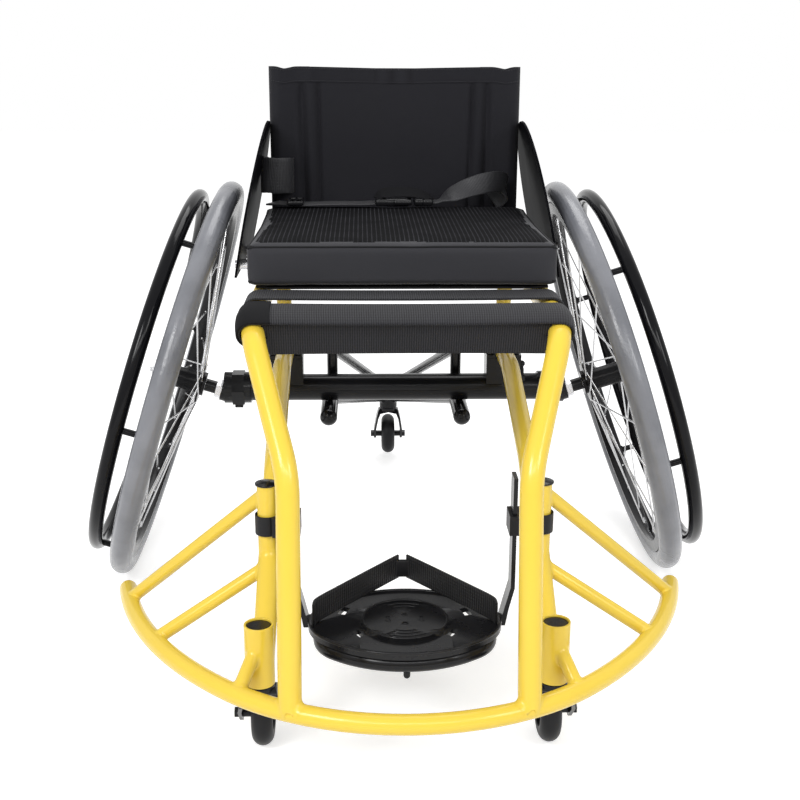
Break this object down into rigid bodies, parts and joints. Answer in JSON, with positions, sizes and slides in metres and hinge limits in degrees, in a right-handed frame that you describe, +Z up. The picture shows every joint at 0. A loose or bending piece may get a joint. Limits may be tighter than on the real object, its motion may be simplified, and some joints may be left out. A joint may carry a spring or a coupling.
{
  "type": "sports wheelchair",
  "caption": "Rigid sports wheelchair with cambered spoked wheels, curved front bumper, front casters, anti-tip caster, footplate, cushion and fabric backrest.",
  "frame": {"origin": "on the floor, in the middle of the whole chair's outline", "axes": "+Y points from the front bumper to the rear, +X to the rider's left, +Z up"},
  "size_m": [0.9088, 1.1846, 0.742],
  "materials": {
    "frame_paint": "bright yellow gloss powder coat",
    "bearing_steel": "bright steel",
    "cap_plastic": "smooth black plastic",
    "black_paint": "black gloss coating",
    "screw_steel": "black oxide screws",
    "black_plastic": "satin black moulded plastic",
    "black_fabric": "charcoal mesh and woven fabric",
    "black_webbing": "ribbed black webbing",
    "grey_tyre": "smooth mid-grey rubber",
    "caster_rubber": "dark solid rubber tread with a plastic core"
  },
  "bodies": {
    "frame": {"main_tube_left": "frame_paint", "main_tube_right": "frame_paint", "bumper": "frame_paint", "lower_tube_left": "frame_paint", "lower_tube_right": "frame_paint", "rear_uprights": "frame_paint", "footrest_posts": "frame_paint", "upper_struts": "frame_paint", "lower_struts": "frame_paint", "bumper_stubs": "frame_paint", "caster_housings": "frame_paint", "caster_bearings": "bearing_steel", "axle_nuts": "bearing_steel", "axle_pins": "bearing_steel", "guard_bolts": "bearing_steel", "tube_caps": "cap_plastic", "belt_buckle": "cap_plastic", "camber_bar": "black_paint", "camber_plugs": "black_paint", "axle_sleeves": "black_paint", "bar_clamps": "black_paint", "rear_cross_tube": "black_paint", "antitip_tubes": "black_paint", "antitip_braces": "black_paint", "antitip_housing": "black_paint", "back_posts": "black_paint", "clamp_screws": "screw_steel", "footrest_clamps": "black_plastic", "side_guards": "black_plastic", "seat_sling": "black_fabric", "backrest_canvas": "black_fabric", "cushion": "black_fabric", "seat_strap": "black_webbing", "front_strap": "black_webbing", "calf_strap": "black_webbing", "lap_belt": "black_webbing"},
    "footrest": {"footrest_frame": "black_paint", "footplate": "black_plastic", "heel_strap": "black_webbing"},
    "rear_wheel_left": {"hub_left": "black_paint", "spokes_left": "bearing_steel", "rim_left": "black_paint", "tyre_left": "grey_tyre", "handrim_left": "black_paint"},
    "rear_wheel_right": {"hub_right": "black_paint", "spokes_right": "bearing_steel", "rim_right": "black_paint", "tyre_right": "grey_tyre", "handrim_right": "black_paint"},
    "axle_button_left": {"axle_button_left": "cap_plastic"},
    "axle_button_right": {"axle_button_right": "cap_plastic"},
    "caster_fork_left": {"caster_fork_left": "black_paint", "caster_axle_left": "bearing_steel"},
    "caster_fork_right": {"caster_fork_right": "black_paint", "caster_axle_right": "bearing_steel"},
    "antitip_fork": {"antitip_fork": "black_paint", "antitip_axle": "bearing_steel"},
    "caster_wheel_left": {"caster_wheel_left": "caster_rubber"},
    "caster_wheel_right": {"caster_wheel_right": "caster_rubber"},
    "antitip_wheel": {"antitip_wheel": "caster_rubber"}
  },
  "joints": [
    {"name": "rear_wheel_left_spin", "type": "hinge", "parent": "frame", "child": "rear_wheel_left", "pos_m": [0.3237, 0.0848, 0.29004], "axis": [0.9548, 0, 0.2974], "continuous": true},
    {"name": "rear_wheel_right_spin", "type": "hinge", "parent": "frame", "child": "rear_wheel_right", "pos_m": [-0.3237, 0.0848, 0.29004], "axis": [-0.9548, 0, 0.2974], "continuous": true},
    {"name": "axle_button_left_press", "type": "slide", "parent": "frame", "child": "axle_button_left", "axis": [-0.9548, 0, -0.2974], "range_m": [0, 0.003], "stiffness_N_per_m": 500, "springref_m": -0.002},
    {"name": "axle_button_right_press", "type": "slide", "parent": "frame", "child": "axle_button_right", "axis": [0.9548, 0, -0.2974], "range_m": [0, 0.003], "stiffness_N_per_m": 500, "springref_m": -0.002},
    {"name": "caster_left_swivel", "type": "hinge", "parent": "frame", "child": "caster_fork_left", "pos_m": [0.164, -0.4752, 0.1], "axis": [0, 0, 1], "continuous": true},
    {"name": "caster_left_roll", "type": "hinge", "parent": "caster_fork_left", "child": "caster_wheel_left", "pos_m": [0.164, -0.4472, 0.0375], "axis": [1, 0, 0], "continuous": true},
    {"name": "caster_right_swivel", "type": "hinge", "parent": "frame", "child": "caster_fork_right", "pos_m": [-0.164, -0.4752, 0.1], "axis": [0, 0, 1], "continuous": true},
    {"name": "caster_right_roll", "type": "hinge", "parent": "caster_fork_right", "child": "caster_wheel_right", "pos_m": [-0.164, -0.4472, 0.0375], "axis": [1, 0, 0], "continuous": true},
    {"name": "antitip_swivel", "type": "hinge", "parent": "frame", "child": "antitip_fork", "pos_m": [0, 0.5268, 0.12], "axis": [0, 0, 1], "continuous": true},
    {"name": "antitip_roll", "type": "hinge", "parent": "antitip_fork", "child": "antitip_wheel", "pos_m": [0, 0.5548, 0.0455], "axis": [1, 0, 0], "continuous": true},
    {"name": "footrest_height", "type": "slide", "parent": "frame", "child": "footrest", "axis": [0, 0, 1], "range_m": [-0.012, 0.05]}
  ]
}
